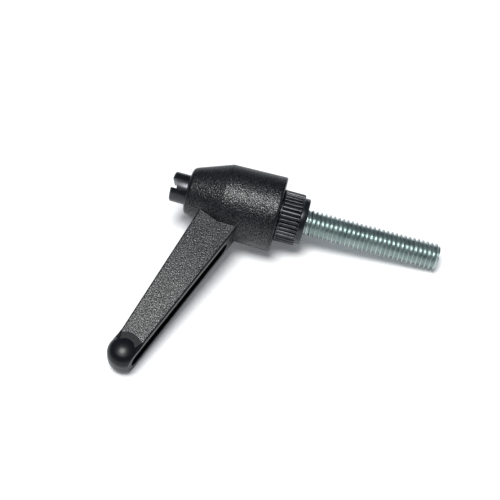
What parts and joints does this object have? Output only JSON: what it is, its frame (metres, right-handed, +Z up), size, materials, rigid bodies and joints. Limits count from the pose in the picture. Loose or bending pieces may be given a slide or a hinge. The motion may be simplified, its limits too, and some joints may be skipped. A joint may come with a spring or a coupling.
{
  "type": "adjustable clamping lever",
  "caption": "Adjustable clamping lever: flat tapering arm with a rounded end on a conical hub, sprung toothed insert and threaded stud, lying as it comes to rest.",
  "frame": {"origin": "centre of the insert's seating face, on the stud's axis", "axes": "+Z up from the surface that the lever lies on; the stud points along +X and down to that surface; the arm reaches along -Y and is flat side up"},
  "size_m": [0.063, 0.0524, 0.0182],
  "materials": {
    "glass_filled_nylon": "matte, fine spark grain on the faces, smooth edges and knob",
    "black_oxide_steel": "satin black oxide",
    "zinc_plated_steel": "bright zinc plate",
    "spring_steel": "drawn wire"
  },
  "bodies": {
    "handle": {"handle": "glass_filled_nylon"},
    "spring": {"return_spring": "spring_steel"},
    "spindle": {"toothed_insert": "black_oxide_steel", "threaded_stud": "zinc_plated_steel", "retaining_screw": "black_oxide_steel"}
  },
  "joints": [
    {"name": "index_turn", "type": "hinge", "parent": "handle", "child": "spring", "pos_m": [0, 0, 0], "axis": [0.9886, 0, -0.1503], "continuous": true},
    {"name": "lift", "type": "slide", "parent": "spring", "child": "spindle", "axis": [0.9886, 0, -0.1503], "range_m": [0, 0.004], "stiffness_N_per_m": 1500, "springref_m": -0.0035, "deforming": ["return_spring"]}
  ]
}
